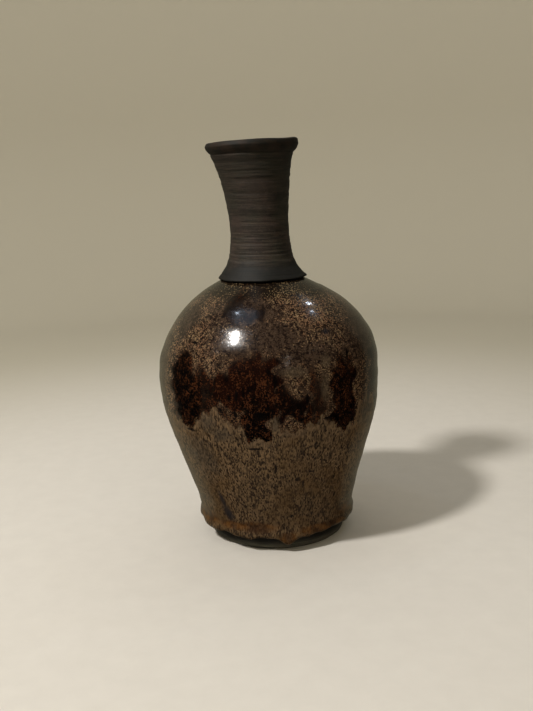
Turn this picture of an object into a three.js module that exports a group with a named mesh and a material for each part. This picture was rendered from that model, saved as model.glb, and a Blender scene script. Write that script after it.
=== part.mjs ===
// A sake bottle in dark stoneware, wheel-thrown in two parts: a round, glazed body and a bare neck
// that is luted on top of it. The outside of the body carries a thick brown iron glaze that ends
// above the foot in a rolled hem with hanging runs. A thin liner glaze makes the inside hold liquid.
// Units are millimetres, +Z is up and the bottle stands on z = 0. The front is towards -Y.
import * as THREE from "three";
import { mergeVertices } from "three/addons/utils/BufferGeometryUtils.js";

// ---- Driving dimensions ----

// Body, bare clay
const BODY_HEIGHT = 157.8; // up to the flat seat of the neck
const BELLY_RADIUS = 66.4;
const BELLY_HEIGHT = 99;
const BODY_WALL = 6;
const SEAT_RADIUS = 23.5;
const MOUTH_RADIUS = 14.5; // opening in the top of the body

// Foot
const FOOT_RADIUS = 42; // where it stands
const FOOT_FLARE = 2; // the foot widens upwards by this much
const FOOT_HEIGHT = 6;
const FOOT_RING_WIDTH = 7;
const FOOT_RECESS = 2.5;
const FOOT_STEP = 4; // height of the slope from the foot out to the wall
const WALL_BOTTOM_RADIUS = 46.5;
const FOOT_BEVEL = 1;
const FLOOR_THICKNESS = 8;
const FLOOR_CORNER = 14; // radius of the turn from floor to wall

// Glazes
const GLAZE_THICKNESS = 1.2;
const LINER_THICKNESS = 0.8;
const HEM_HEIGHT = 11; // lower edge of the outer glaze, between its runs
const HEM_ROLL = 0.8; // how far the rolled hem stands proud of the glaze
const HEM_ROLL_HEIGHT = 6;
const HEM_BAND = 12; // height over which a run fades into the glaze above the hem

// Neck
const NECK_HEIGHT = 81;
const NECK_BORE_RADIUS = 13;
const NECK_WALL = 4.8;
const WAIST_HEIGHT = 28.5; // narrowest place, above the neck's own foot
const FLANGE_OVERHANG = 3.5; // past the body's seat
const FLANGE_THICKNESS = 1.4;
const RIM_RADIUS = 27.2;
const RIM_WALL = 5;
const RIM_BAND_HEIGHT = 7.2; // thickened band around the mouth
const RIM_BAND_WIDTH = 2.3; // how far it stands out from the neck below it
const RIM_GROOVE = 0.5; // turned line under the band
const RIM_TILT_DEG = 1.2; // the mouth is higher on the +X side
const LUTING_SETBACK = 1.2; // the joining clay stays back from the seat's edge

const FIT_GAP = 0.3; // between neighbouring pieces

// Facets
const SEGMENTS = 40; // around every turned piece
const GLAZE_SEGMENTS = 60; // finer, so that the runs show
const CURVE_STEPS = 6; // along each stretch of an outline

// Runs of glaze that hang below the hem: angle in degrees from the front towards +X, half width, drop
const RUNS = [
  { angle: 7.5, halfWidth: 7, drop: 6.3 },
  { angle: 25, halfWidth: 14, drop: 1.2 },
  { angle: -22, halfWidth: 11, drop: 2.8 },
  { angle: -56, halfWidth: 13, drop: 2.4 },
  { angle: 64, halfWidth: 12, drop: 1.2 },
  { angle: 118, halfWidth: 9, drop: 3.4 },
  { angle: 163, halfWidth: 8, drop: 4.6 },
  { angle: -118, halfWidth: 10, drop: 3.8 },
  { angle: -152, halfWidth: 9, drop: 2.4 },
];

// ---- Worked out from them ----

const WALL_BOTTOM = FOOT_HEIGHT + FOOT_STEP;
const FLOOR_TOP = FOOT_RECESS + FLOOR_THICKNESS;
const LUTING_BOTTOM = BODY_HEIGHT + FIT_GAP;
const NECK_BOTTOM = BODY_HEIGHT + FIT_GAP + GLAZE_THICKNESS + FIT_GAP; // clear of the glaze's upper edge
const LUTING_TOP = NECK_BOTTOM - FIT_GAP;
const WAIST = NECK_BOTTOM + WAIST_HEIGHT;
const RIM_TOP = NECK_BOTTOM + NECK_HEIGHT;
const BAND_BOTTOM = RIM_TOP - RIM_BAND_HEIGHT;
const RIM_TILT = Math.tan(THREE.MathUtils.degToRad(RIM_TILT_DEG));

// The hand-thrown bottle isn't quite true: its centre line wanders along X, by this much at each height.
const CENTRE_LINE = [
  [0, 3],
  [BELLY_HEIGHT * 0.6, 1.2],
  [BELLY_HEIGHT, 0],
  [(BELLY_HEIGHT + BODY_HEIGHT) / 2, 1.1],
  [BODY_HEIGHT, -1.6],
  [WAIST, -2.3],
  [(WAIST + RIM_TOP) / 2, -3.7],
  [RIM_TOP, -5.7],
];

// ---- Helpers ----

const at = (radius, z) => new THREE.Vector2(radius, z);

const curve = (...points) => new THREE.CubicBezierCurve(...points).getPoints(CURVE_STEPS);

const direction = (from, to) => to.clone().sub(from).normalize();

// Shifts each straight of an outline by the distance, to the left of the way that it runs.
function inset(outline, distance) {
  const last = outline.length - 1;
  return outline.map((point, i) => {
    const into = direction(outline[Math.max(i - 1, 0)], outline[Math.max(i, 1)]);
    const outOf = direction(outline[Math.min(i, last - 1)], outline[Math.min(i + 1, last)]);
    const along = into.clone().add(outOf).normalize();
    const reach = distance / along.dot(into);
    return at(point.x - along.y * reach, point.y + along.x * reach);
  });
}

const centreLine = new THREE.CubicInterpolant(
  CENTRE_LINE.map(([height]) => height),
  CENTRE_LINE.map(([, offset]) => offset),
  1,
);

// Gives a true turned shape the bottle's lean: the rim tilts, and everything follows the centre line.
function lean(vertex) {
  vertex.z += vertex.x * RIM_TILT * THREE.MathUtils.smoothstep(vertex.z, WAIST, RIM_TOP);
  vertex.x += centreLine.evaluate(THREE.MathUtils.clamp(vertex.z, 0, RIM_TOP))[0];
}

// Turns a profile about Z, with an optional reshaping of the true shape before it leans.
function turned(profile, segments = SEGMENTS, reshape = () => {}) {
  const lathe = new THREE.LatheGeometry(profile, segments).rotateX(Math.PI / 2);
  lathe.deleteAttribute("normal");
  lathe.deleteAttribute("uv");
  const geometry = mergeVertices(lathe);
  const position = geometry.getAttribute("position");
  const vertex = new THREE.Vector3();
  for (let i = 0; i < position.count; i++) {
    vertex.fromBufferAttribute(position, i);
    reshape(vertex);
    lean(vertex);
    position.setXYZ(i, vertex.x, vertex.y, vertex.z);
  }
  geometry.setIndex(withoutSlivers(geometry.index.array));
  geometry.computeVertexNormals();
  return geometry;
}

// Drops the triangles that a lathe collapses onto its axis.
function withoutSlivers(index) {
  const kept = [];
  for (let i = 0; i < index.length; i += 3) {
    const [a, b, c] = index.slice(i, i + 3);
    if (a !== b && b !== c && c !== a) kept.push(a, b, c);
  }
  return kept;
}

function piece(name, geometry, color, roughness) {
  const material = new THREE.MeshStandardMaterial({ color, roughness, metalness: 0 });
  const mesh = new THREE.Mesh(geometry, material);
  mesh.name = name;
  return mesh;
}

// ---- Outlines ----

// Outside of the clay wall, from its lower edge over the belly to the seat.
function wallOutline() {
  const rise = BELLY_HEIGHT - WALL_BOTTOM;
  const swell = BELLY_RADIUS - WALL_BOTTOM_RADIUS;
  const lower = curve(
    at(WALL_BOTTOM_RADIUS, WALL_BOTTOM),
    at(WALL_BOTTOM_RADIUS + swell * 0.03, WALL_BOTTOM + rise * 0.3),
    at(BELLY_RADIUS, BELLY_HEIGHT - rise * 0.36),
    at(BELLY_RADIUS, BELLY_HEIGHT),
  );
  const climb = BODY_HEIGHT - BELLY_HEIGHT;
  const draw = BELLY_RADIUS - SEAT_RADIUS;
  const upper = curve(
    at(BELLY_RADIUS, BELLY_HEIGHT),
    at(BELLY_RADIUS, BELLY_HEIGHT + climb * 0.5),
    at(SEAT_RADIUS + draw * 0.64, BODY_HEIGHT - climb * 0.2),
    at(SEAT_RADIUS, BODY_HEIGHT),
  );
  return [...lower, ...upper.slice(1)];
}

// Inside of the body, from the middle of the floor up to its mouth.
function cavityOutline() {
  const ceiling = BODY_HEIGHT - BODY_WALL;
  const aboveCorner = FLOOR_TOP + FLOOR_CORNER;
  const inTheOpen = (point) => point.y > aboveCorner && point.y < ceiling && point.x > MOUTH_RADIUS;
  const side = inset(wallOutline(), BODY_WALL).filter(inTheOpen);
  const corner = new THREE.QuadraticBezierCurve(
    at(side[0].x - FLOOR_CORNER, FLOOR_TOP),
    at(side[0].x, FLOOR_TOP),
    side[0],
  ).getPoints(CURVE_STEPS);
  const mouth = [at(MOUTH_RADIUS, ceiling), at(MOUTH_RADIUS, BODY_HEIGHT)];
  return [at(0, FLOOR_TOP), ...corner, ...side.slice(1), ...mouth];
}

// Inside of the neck, from its foot up to the rim band.
function boreOutline() {
  const flare = RIM_RADIUS - RIM_WALL - NECK_BORE_RADIUS;
  const climb = BAND_BOTTOM - WAIST;
  const bore = curve(
    at(NECK_BORE_RADIUS, WAIST),
    at(NECK_BORE_RADIUS, WAIST + climb * 0.4),
    at(NECK_BORE_RADIUS + flare * 0.3, WAIST + climb * 0.75),
    at(NECK_BORE_RADIUS + flare * 0.85, BAND_BOTTOM),
  );
  return [at(MOUTH_RADIUS, NECK_BOTTOM), ...bore];
}

// ---- Pieces ----

function bodyGeometry() {
  const footRing = FOOT_RADIUS - FOOT_RING_WIDTH;
  const foot = [
    at(0, FOOT_RECESS),
    at(footRing, FOOT_RECESS),
    at(footRing + FOOT_BEVEL, 0),
    at(FOOT_RADIUS - FOOT_BEVEL, 0),
    at(FOOT_RADIUS, FOOT_BEVEL),
    at(FOOT_RADIUS + FOOT_FLARE, FOOT_HEIGHT),
  ];
  return turned([...foot, ...wallOutline(), ...cavityOutline().reverse()]);
}

// How far the hem hangs down at this place round the bottle.
function hemDrop(x, y) {
  const around = THREE.MathUtils.radToDeg(Math.atan2(x, -y));
  return RUNS.reduce((sum, run) => {
    const away = THREE.MathUtils.euclideanModulo(around - run.angle + 180, 360) - 180;
    return sum + run.drop * Math.exp(-((away / run.halfWidth) ** 2));
  }, 0);
}

function outerGlazeGeometry() {
  const inner = inset(wallOutline(), -FIT_GAP);
  const hem = at(inner[0].x, HEM_HEIGHT);
  const outer = inset(inner, -GLAZE_THICKNESS).filter((point) => point.y > HEM_HEIGHT + HEM_ROLL_HEIGHT);
  const bulge = GLAZE_THICKNESS + HEM_ROLL;
  const roll = curve(
    hem,
    at(hem.x + bulge, HEM_HEIGHT - bulge * 0.3),
    at(hem.x + bulge * 1.5, HEM_HEIGHT + HEM_ROLL_HEIGHT * 0.6),
    at(hem.x + GLAZE_THICKNESS, HEM_HEIGHT + HEM_ROLL_HEIGHT),
  );
  const inside = inner.filter((point) => point.y > HEM_HEIGHT + FIT_GAP).reverse();
  const hemTop = HEM_HEIGHT + HEM_BAND;
  return turned([...roll, ...outer, ...inside, hem], GLAZE_SEGMENTS, (vertex) => {
    const share = 1 - THREE.MathUtils.smoothstep(vertex.z, HEM_HEIGHT, hemTop);
    vertex.z -= hemDrop(vertex.x, vertex.y) * share;
  });
}

// One skin of glaze all over the hollow and up the bore to the rim band.
function linerGlazeGeometry() {
  const hollow = [...cavityOutline(), ...boreOutline()];
  return turned([...inset(hollow, FIT_GAP), ...inset(hollow, FIT_GAP + LINER_THICKNESS).reverse()]);
}

function lutingRingGeometry() {
  const outside = SEAT_RADIUS - LUTING_SETBACK;
  const squeeze = (LUTING_TOP - LUTING_BOTTOM) / 2;
  return turned([
    at(MOUTH_RADIUS, LUTING_BOTTOM),
    at(outside, LUTING_BOTTOM),
    at(outside - squeeze, LUTING_BOTTOM + squeeze),
    at(outside, LUTING_TOP),
    at(MOUTH_RADIUS, LUTING_TOP),
    at(MOUTH_RADIUS, LUTING_BOTTOM),
  ]);
}

function neckGeometry() {
  const flange = SEAT_RADIUS + FLANGE_OVERHANG;
  const edge = FLANGE_THICKNESS / 2;
  const waistRadius = NECK_BORE_RADIUS + NECK_WALL;
  const flangeTop = at(flange - edge, NECK_BOTTOM + FLANGE_THICKNESS);
  const spread = flangeTop.x - waistRadius;
  const skirt = curve(
    flangeTop,
    at(waistRadius + spread * 0.36, NECK_BOTTOM + WAIST_HEIGHT * 0.24),
    at(waistRadius, NECK_BOTTOM + WAIST_HEIGHT * 0.42),
    at(waistRadius, WAIST),
  );
  const bandFoot = RIM_RADIUS - RIM_BAND_WIDTH;
  const flare = bandFoot - waistRadius;
  const climb = BAND_BOTTOM - WAIST;
  const trumpet = curve(
    at(waistRadius, WAIST),
    at(waistRadius, WAIST + climb * 0.38),
    at(waistRadius + flare * 0.34, WAIST + climb * 0.76),
    at(bandFoot, BAND_BOTTOM),
  );
  const lip = RIM_WALL / 2;
  const mouth = RIM_RADIUS - RIM_WALL;
  const rim = [
    at(bandFoot - RIM_GROOVE, BAND_BOTTOM + RIM_GROOVE),
    at(bandFoot + RIM_GROOVE, BAND_BOTTOM + 2 * RIM_GROOVE),
    at(RIM_RADIUS, RIM_TOP - lip),
    at(RIM_RADIUS - lip * 0.1, RIM_TOP - lip * 0.5),
    at(RIM_RADIUS - lip * 0.6, RIM_TOP),
    at(mouth + lip * 0.6, RIM_TOP),
    at(mouth, RIM_TOP - lip * 0.6),
  ];
  return turned([
    at(MOUTH_RADIUS, NECK_BOTTOM),
    at(flange - edge, NECK_BOTTOM),
    at(flange, NECK_BOTTOM + edge),
    ...skirt,
    ...trumpet.slice(1),
    ...rim,
    ...boreOutline().reverse(),
  ]);
}

// ---- Assembly ----

const DARK_CLAY = 0x2c2724;
const IRON_GLAZE = 0x3f2a1c;
const LINER_BROWN = 0x33241b;

const bottle = new THREE.Group();
bottle.add(
  piece("stoneware_body", bodyGeometry(), DARK_CLAY, 0.8),
  piece("outer_glaze", outerGlazeGeometry(), IRON_GLAZE, 0.15),
  piece("liner_glaze", linerGlazeGeometry(), LINER_BROWN, 0.3),
  piece("luting_ring", lutingRingGeometry(), DARK_CLAY, 0.85),
  piece("neck", neckGeometry(), DARK_CLAY, 0.7),
);

export default bottle;
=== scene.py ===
"""Looks for a hand-thrown sake bottle: an iron-glazed stoneware body under a bare, dark trumpet neck."""

import math

import bmesh
import bpy
import numpy as np
from mathutils import Matrix, Vector
from mathutils.bvhtree import BVHTree


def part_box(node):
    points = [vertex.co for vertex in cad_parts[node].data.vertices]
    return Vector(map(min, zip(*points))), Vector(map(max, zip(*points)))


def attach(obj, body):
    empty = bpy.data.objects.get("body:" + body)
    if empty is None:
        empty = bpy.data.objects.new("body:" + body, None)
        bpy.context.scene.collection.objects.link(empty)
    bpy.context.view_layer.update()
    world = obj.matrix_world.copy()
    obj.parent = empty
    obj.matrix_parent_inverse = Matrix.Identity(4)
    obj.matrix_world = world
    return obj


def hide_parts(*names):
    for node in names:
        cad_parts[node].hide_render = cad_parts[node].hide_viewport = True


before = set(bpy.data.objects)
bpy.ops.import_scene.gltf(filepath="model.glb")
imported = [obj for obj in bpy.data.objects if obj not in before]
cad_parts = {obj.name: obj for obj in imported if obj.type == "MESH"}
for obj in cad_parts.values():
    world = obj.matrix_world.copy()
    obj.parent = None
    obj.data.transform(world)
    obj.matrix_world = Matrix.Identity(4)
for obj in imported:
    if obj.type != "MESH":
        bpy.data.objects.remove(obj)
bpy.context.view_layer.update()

MM = 0.001
rng = np.random.default_rng(7)


# ---- Sizes, read from the CAD nodes ----

def tree_of(node):
    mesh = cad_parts[node].data
    return BVHTree.FromPolygons([v.co[:] for v in mesh.vertices], [p.vertices[:] for p in mesh.polygons])


TREES = {node: tree_of(node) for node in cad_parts}


def ring(node, z, inside=False, rays=40):
    """(radius, x of the centre) of a node's outside, or inside, at a height."""
    hits = []
    for angle in 2 * math.pi * np.arange(rays) / rays:
        way = Vector((math.cos(angle), math.sin(angle), 0))
        start = Vector((0, 0, z)) if inside else Vector((0, 0, z)) + way
        hits.append(TREES[node].ray_cast(start, way if inside else -way)[0][:])
    hits = np.array(hits)
    centre = (hits[:, 0].min() + hits[:, 0].max()) / 2
    return np.hypot(hits[:, 0] - centre, hits[:, 1]).mean(), centre


def smooth(values, width):
    """Gaussian smoothing along a list of numbers, which keeps its slope at the ends."""
    reach = int(3 * width) + 1
    weights = np.exp(-0.5 * (np.arange(-reach, reach + 1) / width) ** 2)
    padded = np.pad(values, reach, mode="reflect", reflect_type="odd")
    return np.convolve(padded, weights / weights.sum(), mode="valid")


def fade(value, low, high):
    """0 below low, 1 above high, and smooth between."""
    t = np.clip((value - low) / (high - low), 0, 1)
    return t * t * (3 - 2 * t)


def outline(node, low, high, inside=False, soften=5):
    """Smoothed points (radius, z) up a node's side, one for each millimetre."""
    heights = np.arange(low, high, MM)
    radii = np.array([ring(node, z, inside)[0] for z in heights])
    return np.stack([smooth(radii, soften), heights], 1)


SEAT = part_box("stoneware_body")[1].z
NECK_LOW, NECK_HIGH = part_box("neck")[0].z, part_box("neck")[1].z
RIM_RADIUS = (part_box("neck")[1].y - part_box("neck")[0].y) / 2
FLANGE_RADIUS = ring("neck", NECK_LOW + 0.7 * MM)[0]
MOUTH_RADIUS = ring("stoneware_body", SEAT - MM, inside=True)[0]
FOOT_RADIUS, FOOT_CENTRE = ring("stoneware_body", 1 * MM)

centre_heights = np.arange(1, 238) * MM


def measured_centre(z):
    """x of the outer surface's centre at a height, where one node shows a full ring."""
    for node, low, high in (("stoneware_body", 0, 9), ("outer_glaze", 18, 157), ("neck", 162, 237)):
        if low * MM <= z <= high * MM:
            return ring(node, z)[1]
    return np.nan


measured_centres = np.array([measured_centre(z) for z in centre_heights])
known = ~np.isnan(measured_centres)
centre_line = smooth(np.interp(centre_heights, centre_heights[known], measured_centres[known]), 5)

rim = np.array([v.co[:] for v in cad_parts["neck"].data.vertices if v.co.z > NECK_HIGH - 4 * MM])
RIM_TILT = np.polyfit(rim[:, 0], rim[:, 2], 1)[0]
RIM_TOP = NECK_HIGH - RIM_TILT * RIM_RADIUS
neck_side = outline("neck", NECK_LOW + 2 * MM, RIM_TOP - 7.5 * MM, soften=3)
WAIST = neck_side[neck_side[:, 0].argmin(), 1]


def lean(x, y, z):
    """Gives a true turned shape the bottle's tilted rim and wandering centre line."""
    z = z + x * RIM_TILT * fade(z, WAIST, RIM_TOP)
    return x + np.interp(z, centre_heights, centre_line), y, z


# ---- Making turned meshes ----

def waves(angle, z, count, around, along, seed):
    """Smooth noise that closes on itself round the bottle. It has up to around waves on each turn,
    and its waves up the side are no shorter than along, in metres."""
    local = np.random.default_rng(seed)
    total = np.zeros(np.broadcast(angle, z).shape)
    for _ in range(count):
        turns = local.integers(0, around + 1)
        pitch = local.uniform(-1, 1) * 2 * math.pi / along
        total += np.cos(turns * angle + pitch * z + local.uniform(0, 2 * math.pi))
    return total / math.sqrt(count / 2)


def rounded(points, step=0.5 * MM, soften=1.0):
    """A profile resampled at even steps, with its corners softened."""
    points = np.array(points, float)
    lengths = np.concatenate([[0], np.cumsum(np.hypot(*np.diff(points, axis=0).T))])
    places = np.linspace(0, lengths[-1], int(lengths[-1] / step) + 1)
    even = np.stack([np.interp(places, lengths, points[:, k]) for k in (0, 1)], 1)
    if soften:
        even = np.stack([smooth(even[:, k], soften) for k in (0, 1)], 1)
    return even


def revolve(name, profile, columns, relief=None, loop=True):
    """A skin turned from a profile of (radius, z). relief gives (outwards, upwards) shifts for each point.
    A looped profile makes a closed ring, and any other starts and ends on the axis."""
    angle = (2 * math.pi * np.arange(columns) / columns)[None, :]
    angle = np.where(angle > math.pi, angle - 2 * math.pi, angle)
    radius, height = profile[:, :1], profile[:, 1:]
    outwards, upwards = relief(angle, radius, height) if relief else (0, 0)
    radius = radius + outwards + 0 * angle
    height = height + upwards + 0 * angle
    x, y, z = lean(radius * np.sin(angle), -radius * np.cos(angle), height)
    points = np.stack([x, y, z], 2)
    rows = len(profile)
    index = np.arange(rows * columns).reshape(rows, columns)
    if not loop:
        index[0, :] = index[0, 0]
        index[-1, :] = index[-1, 0]
    below, above = (index, np.roll(index, -1, 0)) if loop else (index[:-1], index[1:])
    corners = np.stack([below, np.roll(below, -1, 1), np.roll(above, -1, 1), above], 2).reshape(-1, 4)
    faces = [list(dict.fromkeys(face)) for face in corners.tolist()]
    mesh = bpy.data.meshes.new(name)
    mesh.from_pydata(points.reshape(-1, 3).tolist(), [], [face for face in faces if len(face) > 2])
    work = bmesh.new()
    work.from_mesh(mesh)
    loose = [v for v in work.verts if not v.link_faces]
    bmesh.ops.delete(work, geom=loose, context="VERTS")
    bmesh.ops.recalc_face_normals(work, faces=work.faces)
    work.to_mesh(mesh)
    work.free()
    mesh.shade_smooth()
    piece = bpy.data.objects.new(name, mesh)
    bpy.context.scene.collection.objects.link(piece)
    return piece


def cylinder_places(piece):
    """(angle from the front, height) of a piece's vertices."""
    co = np.empty(len(piece.data.vertices) * 3)
    piece.data.vertices.foreach_get("co", co)
    x, y, z = co.reshape(-1, 3).T
    return np.arctan2(x - np.interp(z, centre_heights, centre_line), -y), z


def paint(piece, name, values):
    """Stores a number at each vertex for the materials to read."""
    layer = piece.data.attributes.new(name, "FLOAT", "POINT")
    layer.data.foreach_set("value", np.asarray(values, np.float32))


def finish_piece(piece, material, slot, *nodes):
    """Gives a piece its material and its body, and hides the CAD nodes it stands for. The slot argument is
    not used.
    """
    piece.data.materials.append(material)
    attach(piece, "root")
    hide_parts(*nodes)


# ---- Material nodes ----

def srgb(red, green, blue):
    """A display colour, 0 to 255, as linear RGBA."""
    def linear(c):
        c /= 255
        return c / 12.92 if c <= 0.04045 else ((c + 0.055) / 1.055) ** 2.4
    return (linear(red), linear(green), linear(blue), 1)


class Shader:
    """A material whose nodes are made by short calls. Its place is in millimetres."""

    def __init__(self, name, roughness, specular=0.5):
        self.material = bpy.data.materials.new(name)
        self.material.use_nodes = True
        self.tree = self.material.node_tree
        self.tree.nodes.clear()
        self.surface = self.tree.nodes.new("ShaderNodeBsdfPrincipled")
        self.surface.inputs["Roughness"].default_value = roughness
        self.surface.inputs["Specular IOR Level"].default_value = specular
        output = self.tree.nodes.new("ShaderNodeOutputMaterial")
        self.tree.links.new(self.surface.outputs[0], output.inputs[0])
        here = self.tree.nodes.new("ShaderNodeTexCoord").outputs["Object"]
        self.place = self.add("VectorMath", {0: here, 1: (1000, 1000, 1000)}, operation="MULTIPLY")[0]

    def add(self, kind, inputs, **settings):
        node = self.tree.nodes.new("ShaderNode" + kind)
        for key, value in settings.items():
            setattr(node, key, value)
        for key, value in inputs.items():
            self.put(node.inputs[key], value)
        return node.outputs

    def put(self, socket, value):
        if isinstance(value, bpy.types.NodeSocket):
            self.tree.links.new(value, socket)
        else:
            socket.default_value = value

    def math(self, operation, *values):
        return self.add("Math", dict(enumerate(values)), operation=operation)[0]

    def sum(self, first, *others):
        for value in others:
            first = self.math("ADD", first, value)
        return first

    def scaled(self, value, amount):
        return self.math("MULTIPLY", value, amount)

    def swing(self, value, amount):
        """A value from 0 to 1 as a swing of half the amount either way."""
        return self.scaled(self.math("SUBTRACT", value, 0.5), amount)

    def mix(self, share, low, high):
        return self.add("Mix", {0: share, 6: low, 7: high}, data_type="RGBA")[2]

    def tint(self, colour, share, strength, new):
        """Lays a new colour over another, up to a strength, where share is 1."""
        return self.mix(self.scaled(share, strength), colour, new)

    def step(self, value, low, high, to_low=0.0, to_high=1.0):
        inputs = {"Value": value, "From Min": low, "From Max": high, "To Min": to_low, "To Max": to_high}
        return self.add("MapRange", inputs, interpolation_type="SMOOTHSTEP")[0]

    def stretched(self, x, y, z):
        return self.add("VectorMath", {0: self.place, 1: (x, y, z)}, operation="MULTIPLY")[0]

    def noise(self, size, detail=2.0, roughness=0.5, vector=None, distortion=0.0):
        """Noise whose blobs are about size millimetres across."""
        inputs = {"Vector": vector or self.place, "Scale": 1 / size, "Detail": detail}
        inputs |= {"Roughness": roughness, "Distortion": distortion}
        return self.add("TexNoise", inputs)[0]

    def grains(self, size, vector=None):
        """A different value from 0 to 1 for each grain of about size millimetres."""
        return self.add("TexVoronoi", {"Vector": vector or self.place, "Scale": 1 / size})["Color"]

    def attribute(self, name):
        return self.add("Attribute", {}, attribute_name=name)["Fac"]

    def bump(self, height, depth_mm, normal=None):
        inputs = {"Height": height, "Distance": depth_mm * MM, "Strength": 1.0}
        if normal is not None:
            inputs["Normal"] = normal
        return self.add("Bump", inputs)[0]

    def set(self, **inputs):
        for key, value in inputs.items():
            self.put(self.surface.inputs[key.replace("_", " ")], value)
        return self.material


# ---- The glazed body ----

GLAZE_COLUMNS = 300
GLAZE_THICKNESS = 1.2 * MM
HEM_FADE = 12 * MM
RING_SPACING = 11 * MM


def hem_heights(columns):
    """Height of the glaze's lower edge at each column, from the CAD glaze."""
    co = np.array([v.co[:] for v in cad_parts["outer_glaze"].data.vertices if v.co.z < 25 * MM])
    around = np.arctan2(co[:, 0] - FOOT_CENTRE, -co[:, 1])
    angles = np.unique(around.round(3))
    lowest = np.array([co[np.abs(around - a) < 0.02, 2].min() for a in angles])
    columns = np.concatenate([columns - 2 * math.pi, columns, columns + 2 * math.pi])
    turns = np.concatenate([angles - 2 * math.pi, angles, angles + 2 * math.pi])
    heights = np.interp(columns, turns, np.tile(lowest, 3))
    return np.split(smooth(heights, 2), 3)[1]


glaze_side = outline("outer_glaze", 19 * MM, SEAT - 4 * MM, soften=2.5)
column_angles = 2 * math.pi * np.arange(GLAZE_COLUMNS) / GLAZE_COLUMNS
column_angles = np.where(column_angles > math.pi, column_angles - 2 * math.pi, column_angles)
order = np.argsort(column_angles)
hem = np.empty(GLAZE_COLUMNS)
hem[order] = hem_heights(column_angles[order])
HEM = np.percentile(hem, 75)
HEM_RADIUS = ring("outer_glaze", 17.5 * MM)[0]


# Lasting unevenness: degrees from the front, height, half width (degrees), half height, outward shift (mm)
BULGES = [
    (90, 146, 45, 9, 1.3), (92, 122, 40, 16, 0.9), (90, 80, 35, 12, 0.7), (-90, 114, 40, 12, 0.9),
    (-90, 140, 40, 7, -0.2), (-90, 60, 35, 16, -0.5), (-90, 28, 40, 6, -0.6), (180, 120, 50, 14, -0.5),
    (170, 70, 40, 14, 0.6), (20, 138, 30, 10, -0.4),
]


def turn_between(angle, middle):
    """Degrees from a middle to each angle, the short way round."""
    return (np.degrees(angle) - middle + 180) % 360 - 180


def bulging(angle, z):
    """The outward shift of all the lasting unevenness, in metres."""
    total = 0 * angle * z
    for middle, height, half, tall, shift in BULGES:
        away = turn_between(angle, middle)
        total = total + shift * MM * np.exp(-((away / half) ** 2) - ((z / MM - height) / tall) ** 2)
    return total


def throwing(angle, z):
    """Soft rings and dents left by the potter's hands, in metres."""
    slope = 0.6 * np.sin(angle)
    drift = 4 * waves(0 * angle, z, 6, 0, 60 * MM, 3)
    rings = np.sin(2 * math.pi * z / RING_SPACING + slope + drift)
    return 0.06 * MM * rings + 0.1 * MM * waves(angle, z, 14, 3, 70 * MM, 5) + bulging(angle, z)


def glaze_relief(angle, radius, z):
    """Throwing rings above, and a rolled hem below that hangs lower where the glaze ran.
    The runs follow the clay inwards."""
    outside = radius > np.interp(z, glaze_side[:, 1], glaze_side[:, 0]) - 0.7 * GLAZE_THICKNESS
    outside = np.where(z < 19 * MM, radius > HEM_RADIUS - 0.9 * MM, outside)
    share = 1 - fade(z, HEM, HEM + HEM_FADE)
    drop = HEM - hem[None, :]
    run = np.clip(drop / (5 * MM), 0, 1.4)
    near_hem = np.exp(-(((z - HEM - 1 * MM) / (3 * MM)) ** 2))
    bead = 0.7 * MM * run * near_hem
    tuck = -0.4 * MM * run * np.exp(-(((z - HEM + 1 * MM) / (2 * MM)) ** 2))
    hanging = -0.3 * np.clip(HEM - 1.5 * MM - (z - drop * share), 0, 7 * MM)
    lumps = 0.15 * MM * near_hem * waves(angle, z, 10, 24, 20 * MM, 11)
    outwards = np.where(outside, throwing(angle, z) + bead + lumps, -0.2 * MM * run * near_hem)
    return outwards + tuck + hanging, -drop * share + 0.25 * MM * share * waves(angle, 0 * z, 8, 30, 1, 13)


def glaze_profile():
    """The glaze skin's closed profile: hem, outside, shoulder edge, and back down the inside."""
    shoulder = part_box("outer_glaze")[1].z
    edge = ring("outer_glaze", shoulder - 0.4 * MM)[0]
    roll = HEM_RADIUS
    wall = roll - GLAZE_THICKNESS
    outer = [(wall, HEM), (wall + 0.9 * MM, HEM - 0.5 * MM), (roll + 0.6 * MM, HEM + 0.5 * MM)]
    outer += [(roll + 1.0 * MM, HEM + 2.2 * MM), (roll + 0.6 * MM, HEM + 4.2 * MM), (roll, HEM + 6.5 * MM)]
    outer += [tuple(p) for p in glaze_side] + [(edge, shoulder)]
    inner = [(edge - 0.4 * MM, shoulder - GLAZE_THICKNESS)]
    inner += [(r - GLAZE_THICKNESS, z) for r, z in glaze_side[::-6] if z < shoulder - 8 * MM]
    outer = rounded(outer, 0.8 * MM, 1.0)
    inner = rounded(inner + [(wall, HEM + 4 * MM)], 4 * MM, 0)
    return np.concatenate([outer, inner])


glaze = revolve("iron_glaze", glaze_profile(), GLAZE_COLUMNS, glaze_relief)

# Lower edge of the darker upper glaze: degrees from the front, height in mm
EDGE = [
    (-170, 78), (-158, 90), (-149, 90), (-146, 80), (-132, 80), (-129, 92), (-112, 94), (-108, 76),
    (-99, 75), (-96, 88), (-84, 90), (-70, 84), (-57, 84), (-53, 81), (-40, 81), (-36, 86), (-34, 92),
    (-26, 92), (-23, 85), (-14, 84), (-12, 74), (0, 74), (2, 91), (4, 82), (8, 79), (15, 79), (18, 84),
    (27, 85), (32, 84), (35, 78), (46, 77), (49, 86), (58, 94), (66, 90), (72, 79), (86, 78), (90, 90),
    (104, 92), (108, 80), (124, 82), (128, 93), (140, 90), (144, 74), (154, 74), (158, 88), (175, 86),
    (190, 78),
]
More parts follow.
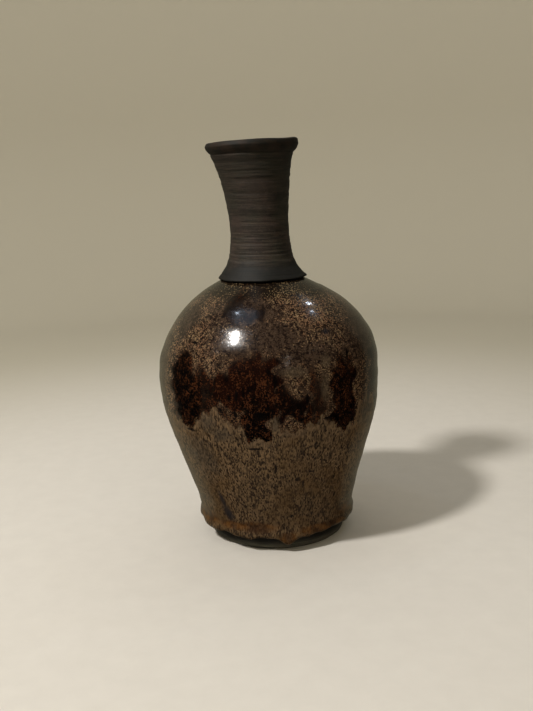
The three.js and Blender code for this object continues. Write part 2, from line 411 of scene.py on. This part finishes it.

# Dark pools in the upper glaze, and a painted dark reflection band (the pool from -30 to -1 degrees, 140 to
# 156 mm): from and to (degrees), top and bottom (mm), depth, redness
POOLS_AND_DARK_REFLECTION = [
    (-57, -35, 117, 70, 1.0, 0.35), (-27, 3, 123, 93, 1.1, 0.9), (-12.5, 0.5, 96, 60, 1.2, 0.15),
    (-30, -1, 156, 140, 0.6, 0.0), (-38, -24, 121, 90, 0.72, 0.6), (-24, -12, 97, 70, 0.5, 0.5),
    (3, 17, 112, 88, 0.95, 0.5), (5, 15, 82, 70, 0.6, 0.2), (16.5, 20, 105, 70, 1.1, 0.0),
    (19, 27, 113, 70, 0.62, 0.9), (32, 47.5, 118, 60, 1.0, 0.4), (62, 86, 120, 60, 0.9, 0.5),
    (98, 122, 122, 70, 1.0, 0.9), (138, 156, 118, 60, 1.1, 0.2), (164, 185, 122, 70, 0.9, 0.8),
    (-175, -158, 122, 70, 0.9, 0.8), (-148, -128, 119, 60, 1.0, 0.3), (-110, -96, 117, 60, 1.1, 0.4),
    (-86, -66, 123, 70, 0.8, 0.9), (86, 98, 119, 82, 0.62, 0.6), (122, 138, 116, 84, 0.6, 0.5),
    (156, 164, 119, 82, 0.75, 0.4), (-158, -148, 118, 84, 0.7, 0.5), (-128, -119, 116, 84, 0.6, 0.6),
    (-96, -86, 119, 82, 0.75, 0.4),
]

# Marks: degrees, height (mm), half width (degrees), half height (mm), lean (degrees per mm).
# Blacks are small dashes, smears are blue-grey, films are smoky, and calms have fewer specks. The calm at
# -12 degrees, 146 mm is a painted dark reflection band high on the front shoulder.
BLACKS = [
    (-9, 70, 4.5, 0.8, 0), (28.5, 85.5, 3, 1.1, 0), (-50, 92, 2.6, 3.5, 0.1), (-24, 93, 1, 1.6, 0),
    (-19.5, 100, 0.9, 3, 0), (-15.5, 102, 0.8, 4, 0.1), (-16.5, 91, 1.2, 2.5, 0), (-45, 78, 4, 1.0, -1),
    (-44, 128.4, 4, 0.8, 0), (11, 137.6, 3, 0.5, 0), (-5, 90, 4, 3, 0), (43, 120, 1.2, 3.5, 0.2),
    (17.8, 98, 0.9, 4, 0), (-11, 84, 1.5, 2.5, 0), (105, 88, 4, 1, 0), (146, 70, 5, 0.8, 0),
    (-103, 84, 3, 2.5, 0), (-140, 76, 4, 1, 0), (172, 95, 2, 4, 0), (80, 104, 1.5, 4, 0.1),
    (1, 58, 0.8, 5, -0.2), (-3.5, 52, 0.9, 3, 0), (13, 49, 1.2, 1.5, 0), (21, 53, 1.6, 0.9, 0),
    (17, 46, 0.6, 4, 0.1), (38, 45, 0.7, 4, 0.2), (42, 33, 1.2, 2, 0.3), (10, 24, 1.4, 1.2, 0),
    (-10, 17, 0.9, 0.9, 0), (90, 50, 1, 4, 0.2),
]
SMEARS = [
    (-37.5, 32, 2, 7, -0.2), (-35.5, 24, 4.4, 6, -0.25), (34, 133, 2.6, 1.5, 0), (60, 92, 2, 6, 0),
    (-128, 36, 2.6, 9, 0.2), (150, 30, 3, 8, -0.2),
]
FILMS = [
    (-69, 106, 9, 28, 0), (-42, 62, 14, 16, 0), (-32, 84, 6, 8, 0), (-26, 78, 8, 6, 0),
    (27.5, 104, 3, 12, 0), (2, 85, 3, 6, 0), (12, 114, 8, 4, 0), (29, 118, 4, 5, 0), (56, 84, 6, 8, 0),
    (94, 88, 5, 8, 0), (132, 90, 5, 9, 0), (-119, 92, 6, 9, 0), (-152, 88, 5, 8, 0), (-90, 88, 5, 8, 0),
]
CALMS_AND_DARK_REFLECTION = [
    (-12, 146, 24, 5, 0), (4, 133, 13, 7, 0), (-60, 140, 8, 8, 0), (62, 128, 14, 14, 0),
    (18, 123, 12, 5, 0), (-20, 127, 8, 3, 0), (110, 140, 20, 6, 0), (150, 130, 14, 9, 0),
    (-170, 144, 20, 5, 0), (-130, 132, 16, 8, 0), (-95, 142, 18, 5, 0),
]
RUSTS = [
    (-62, 17, 16, 5, 0), (-34, 16, 14, 2.8, 0), (-14, 16.5, 15, 4, 0), (7, 10, 6, 3.6, 0),
    (34, 13, 22, 3, 0), (62, 19, 18, 4, 0), (100, 15, 22, 4, 0), (140, 13, 22, 5, 0), (180, 14, 24, 4, 0),
    (-140, 13, 22, 4, 0), (-100, 15, 22, 4, 0),
]


def marks(angle, z, spots):
    """1 in the middle of each spot, fading outwards."""
    field = np.zeros(len(z))
    for middle, height, half, tall, slope in spots:
        up = z / MM - height
        away = turn_between(angle, middle) - slope * up
        field = np.maximum(field, np.exp(-((away / half) ** 2) - (up / tall) ** 2))
    return field


def upper_glaze_field(angle, z):
    """Millimetres above the ragged lower edge of the upper glaze."""
    turns, heights = np.array(EDGE, float).T
    low, high = turns < -90, turns > 90
    turns = np.concatenate([turns[high] - 360, turns, turns[low] + 360])
    heights = np.concatenate([heights[high], heights, heights[low]])
    keep = np.argsort(turns)
    edge = np.interp(np.degrees(angle), turns[keep], heights[keep])
    drips = 1.6 * waves(angle, 0 * z, 16, 60, 1, 61)
    return z / MM - edge - drips


def pool_and_reflection_fields(angle, z):
    """(depth, redness) of the dark pools, and of the painted dark reflection band on the front shoulder."""
    depth, red, total = np.zeros(len(z)), np.zeros(len(z)), np.full(len(z), 1e-6)
    height = z / MM + 2.2 * waves(angle, z, 14, 40, 14 * MM, 63)
    shift = 1.6 * waves(angle, z, 14, 12, 9 * MM, 65)
    tops = 5 * waves(angle, z, 12, 14, 30 * MM, 67)
    for start, end, top, bottom, strength, redness in POOLS_AND_DARK_REFLECTION:
        half = (end - start) / 2
        away = np.abs(turn_between(angle, start + half) + shift)
        across = fade(half + 1.5 - away, 0, 3)
        inside = across * fade(height, bottom - 2, bottom + 2) * fade(top + 5 + tops - height, 0, 14)
        depth = np.maximum(depth, strength * inside)
        red, total = red + redness * inside, total + inside
    return depth, red / total


glaze_angle, glaze_z = cylinder_places(glaze)
pool_and_reflection_depth, pool_red = pool_and_reflection_fields(glaze_angle, glaze_z)
paint(glaze, "upper", upper_glaze_field(glaze_angle, glaze_z))
paint(glaze, "pool", pool_and_reflection_depth)
paint(glaze, "red", pool_red)
for kind, spots in (("black", BLACKS), ("smear", SMEARS), ("film", FILMS), ("rust", RUSTS), ("calm", CALMS_AND_DARK_REFLECTION)):
    paint(glaze, kind, marks(glaze_angle, glaze_z, spots))
paint(glaze, "height", glaze_z / MM)


def upper_glaze(s, grain, blot, cloud, wander, tall):
    """Brown glaze peppered with ochre, with olive specks on painted shade next to the neck, dark red-brown
    pools and a painted dark reflection band.
    """
    lit = s.sum(grain, s.swing(blot, 0.35), s.swing(cloud, 0.7))
    # The calm field also dims the painted dark reflection band high on the front shoulder.
    lit = s.math("SUBTRACT", lit, s.scaled(s.attribute("calm"), 0.45))
    mottle = s.sum(blot, s.swing(grain, 0.4))
    ground = s.mix(s.step(mottle, 0.3, 0.72), srgb(28, 19, 14), srgb(72, 57, 45))
    speck = s.mix(s.step(wander, 0.4, 0.62), srgb(128, 96, 70), srgb(140, 116, 86))
    colour = s.mix(s.step(lit, 0.56, 0.9), ground, speck)
    # Painted shade of the neck: the glaze just below the seat goes near-black, with sparse olive specks of
    # its own.
    collar_olive_and_shade = s.step(s.sum(s.attribute("height"), s.scaled(wander, 8)), 152, 158)
    olive_specks_on_shade = s.mix(s.step(lit, 0.72, 0.96), srgb(15, 10, 6), srgb(124, 106, 76))
    colour = s.tint(colour, collar_olive_and_shade, 0.85, olive_specks_on_shade)

    ragged = s.sum(s.swing(blot, 0.7), s.scaled(grain, 0.55))
    # The pool field also holds the painted dark reflection band high on the front shoulder.
    depth = s.sum(s.attribute("pool"), ragged, s.swing(tall, 0.7))
    red = s.sum(s.attribute("red"), s.swing(wander, 1.2), s.swing(tall, 1.2))
    deep = s.mix(s.step(red, 0.35, 0.9), srgb(8, 5, 4), srgb(25, 9, 5))
    spots = s.step(s.sum(lit, s.swing(wander, 1.5)), 0.5, 0.98)
    deep = s.tint(deep, spots, 0.8, srgb(74, 42, 23))
    deep = s.tint(deep, s.step(tall, 0.46, 0.36), 0.8, srgb(6, 4, 4))
    return s.mix(s.step(depth, 0.45, 1.15), colour, deep)


def lower_glaze(s, border, fine, cloud, tall):
    """Grey-brown glaze with fine upright fur, paler along its top edge and darker near the hem."""
    colour = s.mix(s.step(fine, 0.15, 0.85), srgb(24, 16, 10), srgb(114, 91, 65))
    colour = s.tint(colour, s.step(cloud, 0.48, 0.66), 0.4, srgb(84, 60, 28))
    colour = s.mix(s.step(s.attribute("height"), 60, 25, 0, 0.2), colour, srgb(34, 25, 15))
    colour = s.tint(colour, s.step(tall, 0.36, 0.24), 0.6, srgb(24, 20, 18))
    ridge = s.math("MULTIPLY", s.step(border, -4.5, -2), s.step(border, 1, -1))
    return s.tint(colour, ridge, 0.35, srgb(110, 90, 68))


def marked_glaze(s, colour, blot, fine, wander):
    """Lays the smoky films, black dashes, smears and rusty hem over the glaze."""
    ragged = s.swing(blot, 0.9)
    film = s.step(s.sum(s.attribute("film"), ragged), 0.3, 0.9)
    smoke = s.mix(s.step(fine, 0.2, 0.8), srgb(52, 45, 36), srgb(82, 69, 54))
    colour = s.tint(colour, film, 0.75, smoke)
    rusty = s.mix(s.step(wander, 0.4, 0.62), srgb(48, 26, 8), srgb(92, 57, 17))
    for kind, spread, low, high, strength, new in (
        ("black", 0.7, 0.4, 0.62, 0.9, srgb(8, 7, 7)),
        ("smear", 0.6, 0.05, 0.9, 0.85, srgb(28, 29, 34)),
        ("rust", 0.5, 0.18, 0.75, 0.72, rusty),
    ):
        field = s.sum(s.attribute(kind), s.scaled(ragged, spread))
        colour = s.tint(colour, s.step(field, low, high), strength, new)
    return colour


def glaze_material():
    """The outer glaze: two colours of glaze with marks over them, under a clear glassy coat."""
    s = Shader("iron_glaze", 0.3, 0.25)
    cloud = s.noise(22, 3, 0.55)
    wander = s.noise(5, 3, 0.6)
    grain = s.grains(0.58)
    blot = s.noise(2.4, 3, 0.65)
    tall = s.noise(2.6, 3, 0.6, s.stretched(1, 1, 0.22))
    fine = s.sum(s.grains(0.62, s.stretched(1, 1, 0.36)), s.swing(tall, 0.3))

    border = s.sum(s.attribute("upper"), s.swing(blot, 9))
    lower = lower_glaze(s, border, fine, cloud, tall)
    upper = upper_glaze(s, grain, blot, cloud, wander, tall)
    colour = marked_glaze(s, s.mix(s.step(border, -1.5, 2), lower, upper), blot, fine, wander)

    uneven = s.bump(s.noise(2.2, 2, 0.5), 0.05)
    s.set(Coat_Weight=0.5, Coat_Roughness=0.08, Coat_Normal=s.bump(grain, 0.006, uneven))
    pits = s.bump(grain, 0.012, uneven)
    return s.set(Base_Color=colour, Normal=pits, Roughness=s.step(border, 2, -2, 0.2, 0.4))


finish_piece(glaze, glaze_material(), "iron_glaze", "outer_glaze")


# ---- Clay ----

def foot_relief(angle, radius, z):
    """Trimming marks round the foot and under it. The edge it stands on stays flat."""
    turned = fade(radius, 60 * MM, 30 * MM) * fade(z, 12 * MM, 8 * MM)
    trimming = 0.12 * MM * np.sin(2 * math.pi * (z / (1.6 * MM) + radius / (2.1 * MM)))
    return 0.2 * MM * turned * waves(angle, z, 8, 12, 8 * MM, 21), trimming * turned * (z > 0.5 * MM)


def body_profile():
    """The clay body from under the foot, up the outside, over the seat and down to the floor inside."""
    recess = 2.5 * MM
    ledge = FOOT_RADIUS - 7 * MM
    foot = [(0, recess), (ledge, recess), (ledge + 0.8 * MM, 0.2 * MM), (ledge + 1.2 * MM, 0)]
    foot += [(FOOT_RADIUS - 1 * MM, 0), (FOOT_RADIUS, 0.9 * MM), (FOOT_RADIUS + 2 * MM, 6 * MM)]
    side = outline("stoneware_body", 10.5 * MM, SEAT - 2 * MM)[::3]
    inside = outline("stoneware_body", 26 * MM, SEAT - 8 * MM, inside=True)[::-4]
    floor = 10.5 * MM
    hollow = [(MOUTH_RADIUS, SEAT), (MOUTH_RADIUS, SEAT - 6 * MM), *inside]
    hollow += [(inside[-1][0] - 4 * MM, floor + 4 * MM), (inside[-1][0] - 14 * MM, floor), (0, floor)]
    seat = ring("stoneware_body", SEAT - 0.1 * MM)[0]
    outer = rounded(foot + [tuple(p) for p in side[:3]], 0.5 * MM, 1)
    rest = np.array([tuple(p) for p in side[3:]] + [(seat, SEAT)] + hollow)
    return np.concatenate([outer, rest])


def clay_material(name, light, dark, ruddy):
    """Bare clay with faint turning lines, near-black from a few millimetres up: partly a stain where it
    meets the glaze, partly painted shade under the hem and in the gap under the neck.
    """
    s = Shader(name, 0.72, 0.35)
    height = s.add("SeparateXYZ", {0: s.place})[2]
    lines = s.noise(0.55, 3, 0.6, s.stretched(0.03, 0.03, 1), 0.1)
    bands = s.noise(6, 2, 0.5, s.stretched(0.12, 0.12, 1))
    cloud = s.noise(22, 3, 0.6)
    grain = s.noise(0.4, 2, 0.6)
    colour = s.mix(s.step(lines, 0.35, 0.7), dark, light)
    colour = s.tint(colour, s.step(cloud, 0.42, 0.62), 0.6, ruddy)
    colour = s.tint(colour, s.step(bands, 0.55, 0.3), 0.5, dark)
    colour = s.tint(colour, s.step(grain, 0.62, 0.75), 0.35, srgb(120, 108, 94))
    # Painted shade and stain: above 3.5 to 8 mm the clay goes near-black. This darkens the foot under the
    # hem, the body inside and the whole luting ring.
    stain_and_painted_shade = s.step(s.sum(height, s.scaled(cloud, 3)), 3.5, 8, 0, 0.85)
    colour = s.mix(stain_and_painted_shade, colour, srgb(18, 15, 12))
    scratch = s.bump(lines, 0.06)
    return s.set(Base_Color=colour, Normal=s.bump(grain, 0.05, scratch))


body = revolve("clay_body", body_profile(), 200, foot_relief, loop=False)
body_clay = clay_material("foot_clay", srgb(100, 97, 84), srgb(50, 49, 41), srgb(80, 73, 60))
finish_piece(body, body_clay, "clay", "stoneware_body")

FIT_GAP = 0.3 * MM
LUTING_RADIUS = 22 * MM


def luting_profile():
    low, high = SEAT + FIT_GAP, NECK_LOW - FIT_GAP
    points = [(MOUTH_RADIUS, low), (LUTING_RADIUS, low), (LUTING_RADIUS + 0.6 * MM, low + 0.6 * MM)]
    points += [(LUTING_RADIUS, high), (MOUTH_RADIUS, high), (MOUTH_RADIUS, low + 0.2 * MM)]
    return rounded(points, 0.5 * MM, 0)


def luting_relief(angle, radius, z):
    """An uneven outer edge, as squeezed clay has."""
    return fade(radius, 19 * MM, LUTING_RADIUS) * 0.35 * MM * waves(angle, z, 8, 18, 1, 31), 0


luting = revolve("luting_clay", luting_profile(), 160, luting_relief)
# The luting ring is near-black from the clay's painted shade, so the gap under the flange reads dark.
finish_piece(luting, body_clay, "clay", "luting_ring")


# ---- The neck ----

NECK_COLUMNS = 240
BAND_FOOT = RIM_TOP - 7.2 * MM
FULLEST = 214 * MM

# Lines turned into the neck: height, depth, half width. Those with a depth below 0 stand proud.
GROOVES = [(BAND_FOOT, 0.5 * MM, 0.6 * MM), (RIM_TOP - 12.5 * MM, 0.1 * MM, 0.5 * MM)]
GROOVES += [(197.6 * MM, 0.1 * MM, 0.4 * MM), (218.7 * MM, 0.08 * MM, 0.4 * MM)]
GROOVES += [(z * MM, -0.1 * MM, 0.35 * MM) for z in (187, 180, 178.3, 176, 174)]

line_heights = np.arange(150, 250, 0.1) * MM
fine_lines = smooth(rng.normal(size=len(line_heights)), 3)
fine_lines = 0.05 * MM * fine_lines / fine_lines.std()
coarse_lines = smooth(rng.normal(size=len(line_heights)), 14)
coarse_lines = 0.09 * MM * coarse_lines / coarse_lines.std()


def neck_relief(angle, radius, z):
    """Turning lines, grooves and a slow wobble, with the rim pulled out and up at +X."""
    middle = np.interp(z, neck_side[:, 1], neck_side[:, 0]) - 2.4 * MM
    outside = fade(radius - middle, -1 * MM, 0.5 * MM)
    level = z + 0.3 * MM * np.sin(angle + 1) + 0.12 * MM * waves(angle, z, 6, 5, 40 * MM, 41)
    strength = 1 + 0.45 * waves(angle, z, 10, 6, 12 * MM, 43)
    lines = np.interp(level, line_heights, fine_lines) * strength
    lines = lines + np.interp(level, line_heights, coarse_lines)
    for height, depth, width in GROOVES:
        lines = lines - depth * np.exp(-(((level - height) / width) ** 2))
    full = 0.5 * MM * np.exp(-(((z - FULLEST) / (12 * MM)) ** 2)) * (1 + 0.4 * np.sin(angle))
    wobble = 0.14 * MM * waves(angle, z, 8, 3, 60 * MM, 45)
    foot = fade(z, NECK_LOW + 4 * MM, NECK_LOW)
    flange = 0.3 * MM * foot * fade(radius, 22 * MM, 26 * MM) * waves(angle, 0 * z, 8, 14, 1, 49)
    lip = fade(z, RIM_TOP - 5 * MM, RIM_TOP)
    uneven = 0.22 * MM * (lip + 0.6 * foot) * waves(angle, 0 * z, 8, 7, 1, 47)
    corner = np.exp(-((turn_between(angle, 90) / 45) ** 2)) * fade(z, RIM_TOP - 10 * MM, RIM_TOP - 5 * MM)
    outwards = outside * (lines * (1 - foot) + full) + wobble + flange + 1.1 * MM * corner
    return outwards, uneven + 0.6 * MM * corner * lip


def neck_profile():
    """The neck's closed profile: flange, outside, rim, bore, and back along the underside."""
    bore = outline("neck", NECK_LOW + 1 * MM, BAND_FOOT, inside=True)
    outer = [(FLANGE_RADIUS - 0.9 * MM, NECK_LOW), (FLANGE_RADIUS, NECK_LOW + 0.5 * MM)]
    outer += [(FLANGE_RADIUS - 0.7 * MM, NECK_LOW + 1.4 * MM)]
    outer += [tuple(p) for p in neck_side if NECK_LOW + 2.5 * MM < p[1] < BAND_FOOT]
    outer += [(RIM_RADIUS - 1.9 * MM, BAND_FOOT + 0.8 * MM), (RIM_RADIUS - 0.4 * MM, BAND_FOOT + 3.4 * MM)]
    outer += [(RIM_RADIUS, RIM_TOP - 2.2 * MM), (RIM_RADIUS - 0.5 * MM, RIM_TOP - 0.6 * MM)]
    outer += [(RIM_RADIUS - 1.6 * MM, RIM_TOP), (RIM_RADIUS - 3.4 * MM, RIM_TOP - 0.1 * MM)]
    outer += [(RIM_RADIUS - 4.8 * MM, RIM_TOP - 1.3 * MM), (RIM_RADIUS - 5.4 * MM, RIM_TOP - 3.5 * MM)]
    inner = [tuple(p) for p in bore[::-1] if p[1] < BAND_FOOT - 1 * MM] + [(MOUTH_RADIUS, NECK_LOW)]
    outer = rounded(outer, 0.4 * MM, 1.2)
    underside = rounded([inner[-1], outer[0]], 2 * MM, 0)[1:-1]
    return np.concatenate([outer, rounded(inner, 1.6 * MM, 0), underside])


neck = revolve("neck_clay", neck_profile(), NECK_COLUMNS, neck_relief)
neck_angle, neck_z = cylinder_places(neck)

# Fine lines round the neck: height in mm, strength. The pale ones are painted highlight along the fine
# turned ridges, and scored ones are dark.
PAINTED_HIGHLIGHT_LINES = [
    (187.2, 0.9), (181, 0.7), (179.3, 0.5), (176.8, 0.8), (174.6, 0.7), (171, 0.4), (193.5, 0.4),
    (204, 0.35), (225, 0.35),
]
SCORED = [(233.6, 1.0), (228.6, 0.5), (197.6, 0.5), (218.7, 0.4), (209, 0.3), (184, 0.4)]


def lines_at(angle, z, heights, seed):
    """Fine lines round the neck at some heights, which fade in and out on their way round."""
    level = z / MM + 0.25 * np.sin(angle + 1)
    field = np.zeros(len(z))
    for k, (height, strength) in enumerate(heights):
        patchy = np.clip(0.65 + 0.5 * waves(angle, 0 * z, 6, 6, 1, seed + k), 0, 1)
        field = np.maximum(field, strength * patchy * np.exp(-(((level - height) / 0.28) ** 2)))
    return field


# Painted highlight: pale lines along the fine turned ridges.
paint(neck, "painted_highlight_lines", lines_at(neck_angle, neck_z, PAINTED_HIGHLIGHT_LINES, 71))
paint(neck, "scored", lines_at(neck_angle, neck_z, SCORED, 91))


def neck_material():
    """Bare dark clay with fine turning lines, purple-brown and olive clouds and a warmer, darker rim."""
    s = Shader("neck_clay", 0.68, 0.35)
    height = s.add("SeparateXYZ", {0: s.place})[2]
    lines = s.noise(0.42, 3, 0.7, s.stretched(0.03, 0.03, 1), 0.1)
    bands = s.noise(3.4, 3, 0.6, s.stretched(0.06, 0.06, 1))
    cloud = s.noise(20, 3, 0.6)
    patch = s.noise(9, 4, 0.65)
    grain = s.noise(0.8, 3, 0.7)
    colour = s.mix(s.step(lines, 0.34, 0.68), srgb(32, 27, 20), srgb(66, 56, 46))
    colour = s.tint(colour, s.step(cloud, 0.42, 0.62), 0.5, srgb(62, 46, 41))
    colour = s.tint(colour, s.step(cloud, 0.48, 0.32), 0.55, srgb(46, 47, 36))
    colour = s.tint(colour, s.step(bands, 0.52, 0.36), 0.4, srgb(34, 29, 23))
    colour = s.tint(colour, s.step(patch, 0.52, 0.38), 0.35, srgb(30, 27, 20))
    colour = s.tint(colour, s.step(grain, 0.56, 0.74), 0.4, srgb(90, 78, 66))
    # Painted highlight: pale lines where the fine ridges catch the light.
    colour = s.tint(colour, s.attribute("painted_highlight_lines"), 0.3, srgb(100, 90, 78))
    colour = s.tint(colour, s.attribute("scored"), 0.75, srgb(14, 11, 8))
    sooty = s.step(s.sum(height, s.scaled(patch, 16)), 205, 244, 0, 0.5)
    colour = s.mix(sooty, colour, srgb(34, 30, 20))
    rim = s.step(s.sum(height, s.scaled(patch, 3)), RIM_TOP / MM - 6.4, RIM_TOP / MM - 4, 0, 0.7)
    colour = s.mix(rim, colour, s.mix(s.step(patch, 0.4, 0.6), srgb(20, 18, 11), srgb(42, 28, 16)))
    base = s.step(s.math("SUBTRACT", height, s.scaled(patch, 16)), 165, 157, 0, 0.85)
    colour = s.mix(base, colour, srgb(19, 20, 15))
    scratch = s.bump(lines, 0.05)
    return s.set(Base_Color=colour, Normal=s.bump(grain, 0.05, scratch))


finish_piece(neck, neck_material(), "neck_clay", "neck")


# ---- Liner glaze ----

def liner_profile():
    """The thin lining from the middle of the floor, up its outside and back down its inside."""
    low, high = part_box("liner_glaze")
    outside = outline("liner_glaze", 27 * MM, high.z - 1 * MM, soften=1)
    inside = outline("liner_glaze", 27 * MM, high.z - 1 * MM, inside=True, soften=1)
    corner = outside[0, 0]
    top = (outside[-1] + inside[-1]) / 2 + (0, 1 * MM)
    bottom = [(0, low.z), (corner - 14 * MM, low.z), (corner - 4 * MM, low.z + 4 * MM)]
    thin = 0.8 * MM
    back = [(corner - 4.6 * MM, low.z + 4.6 * MM), (corner - 14 * MM, low.z + thin), (0, low.z + thin)]
    return np.array(bottom + outside[::2].tolist() + [tuple(top)] + inside[::-2].tolist() + back)


def liner_material():
    """Mottled brown glaze with pale flecks."""
    s = Shader("liner_glaze", 0.15)
    mottled = s.mix(s.step(s.noise(3, 3, 0.6), 0.35, 0.65), srgb(34, 22, 16), srgb(70, 48, 32))
    colour = s.mix(s.step(s.noise(0.9, 2), 0.58, 0.7), mottled, srgb(112, 82, 54))
    return s.set(Base_Color=colour, Normal=s.bump(s.noise(3, 2), 0.08))


liner = revolve("inner_glaze", liner_profile(), 160, loop=False)
finish_piece(liner, liner_material(), "liner_glaze", "liner_glaze")


# ---- Floor, lights and camera ----

FLOOR_RADIUS = 0.85
COVE_RADIUS = 0.35
WALL_TOP = 2.0
CARD_RADIUS = 1.1
CARD_HALF_TURN = 66
CARD_STEPS = 48
CARD_LOW = -1


def floor_material():
    """Pale stone round the bottle, turning to cream further out and up the wall."""
    s = Shader("pale_floor", 0.9, 0.2)
    away = s.add("VectorMath", {0: s.place}, operation="LENGTH")["Value"]
    soft = s.mix(s.noise(14, 4, 0.6), srgb(222, 217, 208), srgb(212, 207, 198))
    return s.set(Base_Color=s.mix(s.step(away, 200, 700), soft, srgb(190, 184, 167)))


def sheet(name, points, faces, material):
    """A piece of the stage, which is not part of the bottle."""
    mesh = bpy.data.meshes.new(name)
    mesh.from_pydata(points, [], faces)
    mesh.shade_smooth()
    mesh.materials.append(material)
    piece = bpy.data.objects.new(name, mesh)
    bpy.context.scene.collection.objects.link(piece)
    return piece


def floor():
    """A round pale floor that curves up into a wall on all sides. The glaze does not mirror it."""
    section = [(FLOOR_RADIUS * k / 8, 0) for k in range(1, 9)]
    section += [(FLOOR_RADIUS + COVE_RADIUS * math.sin(a), COVE_RADIUS * (1 - math.cos(a)))
                for a in np.linspace(0, math.pi / 2, 16)[1:]]
    section += [(FLOOR_RADIUS + COVE_RADIUS, WALL_TOP)]
    sides = 96
    turns = 2 * math.pi * np.arange(sides) / sides
    points = [(0, 0, 0)]
    for radius, z in section:
        points += [(radius * math.sin(a), radius * math.cos(a), z) for a in turns]
    faces = [(0, 1 + (i + 1) % sides, 1 + i) for i in range(sides)]
    for start in range(1, 1 + sides * (len(section) - 1), sides):
        for i in range(sides):
            after = (i + 1) % sides
            faces.append((start + i, start + after, start + sides + after, start + sides + i))
    sheet("floor", points, faces, floor_material()).visible_glossy = False


def card_material():
    """A dim cream glow, stronger on the left."""
    material = bpy.data.materials.new("card_glow")
    material.use_nodes = True
    nodes, links = material.node_tree.nodes, material.node_tree.links
    nodes.clear()
    place = nodes.new("ShaderNodeSeparateXYZ")
    links.new(nodes.new("ShaderNodeTexCoord").outputs["Object"], place.inputs[0])
    glow = nodes.new("ShaderNodeEmission")
    glow.inputs["Color"].default_value = srgb(188, 180, 150)
    side = nodes.new("ShaderNodeMapRange")
    links.new(place.outputs[0], side.inputs["Value"])
    for key, value in (("From Min", -1), ("From Max", 1), ("To Min", 0.44), ("To Max", 0.24)):
        side.inputs[key].default_value = value
    links.new(side.outputs[0], glow.inputs["Strength"])
    links.new(glow.outputs[0], nodes.new("ShaderNodeOutputMaterial").inputs[0])
    return material


def reflection_card():
    """A dim curved screen behind the bottle, seen only as a reflection in its glossy edges."""
    turns = np.radians(np.linspace(-CARD_HALF_TURN, CARD_HALF_TURN, CARD_STEPS))
    arc = [(CARD_RADIUS * math.sin(a), CARD_RADIUS * math.cos(a)) for a in turns]
    points = [(x, y, z) for z in (CARD_LOW, WALL_TOP) for x, y in arc]
    faces = [(i, i + 1, i + 1 + CARD_STEPS, i + CARD_STEPS) for i in range(CARD_STEPS - 1)]
    card = sheet("reflection_card", points, faces, card_material())
    card.visible_camera = card.visible_diffuse = card.visible_shadow = False


floor()
reflection_card()

TARGET = Vector((0, 0, 0.12))


def lamp(name, azimuth, elevation, distance, radius, power, colour=(1, 0.97, 0.93), mirrored=True):
    """A round lamp, placed by the angle from the front towards +X and the angle above the floor."""
    light = bpy.data.lights.new(name, "AREA")
    light.shape = "DISK"
    light.size = 2 * radius
    light.energy = power
    light.color = colour
    piece = bpy.data.objects.new(name, light)
    turn, rise = math.radians(azimuth), math.radians(elevation)
    way = Vector((math.cos(rise) * math.sin(turn), -math.cos(rise) * math.cos(turn), math.sin(rise)))
    piece.location = TARGET + distance * way
    piece.rotation_euler = (-way).to_track_quat("-Z", "Y").to_euler()
    piece.visible_glossy = mirrored
    bpy.context.scene.collection.objects.link(piece)


COOL = (0.75, 0.85, 1)
lamp("key", -50, 49, 1.4, 0.075, 15.6)
lamp("overhead", 180, 65, 1.5, 0.6, 3.5, mirrored=False)
lamp("front_fill", 20, 60, 1.4, 0.4, 0.8, mirrored=False)
lamp("spot_left", -94, 68, 1.4, 0.03, 0.4, COOL)
lamp("glow_left", -70, 73, 1.4, 0.24, 0.45, (0.6, 0.78, 1))
lamp("spot_low_left", -63, 28, 1.15, 0.009, 0.1)
lamp("spot_right", 132, 54, 1.5, 0.02, 0.4, COOL)
lamp("spot_right_near", 109, 56, 1.5, 0.02, 0.3, COOL)
lamp("spot_low_right", 56, 30, 1.15, 0.009, 0.08)
lamp("spot_front", 19, 22, 1.1, 0.006, 0.04)

world = bpy.data.worlds.new("studio")
world.use_nodes = True
world.node_tree.nodes["Background"].inputs["Color"].default_value = (0.86, 0.83, 0.78, 1)
world.node_tree.nodes["Background"].inputs["Strength"].default_value = 0.06
bpy.context.scene.world = world
world.cycles_visibility.glossy = False
bpy.context.scene.view_settings.view_transform = "Standard"

CAMERA_DISTANCE = 0.511
CAMERA_HEIGHT = 0.2148
CAMERA_SIDE = -0.0007
PITCH = math.radians(11.53)
ROLL = math.radians(-2)
LENS = 42.33

camera = bpy.data.objects.new("camera", bpy.data.cameras.new("camera"))
camera.data.lens = LENS
camera.data.clip_start = 0.01
camera.location = (CAMERA_SIDE, -CAMERA_DISTANCE, CAMERA_HEIGHT)
turned = Matrix.Rotation(math.pi / 2 - PITCH, 4, "X") @ Matrix.Rotation(ROLL, 4, "Z")
camera.rotation_euler = turned.to_euler()
bpy.context.scene.collection.objects.link(camera)
bpy.context.scene.camera = camera
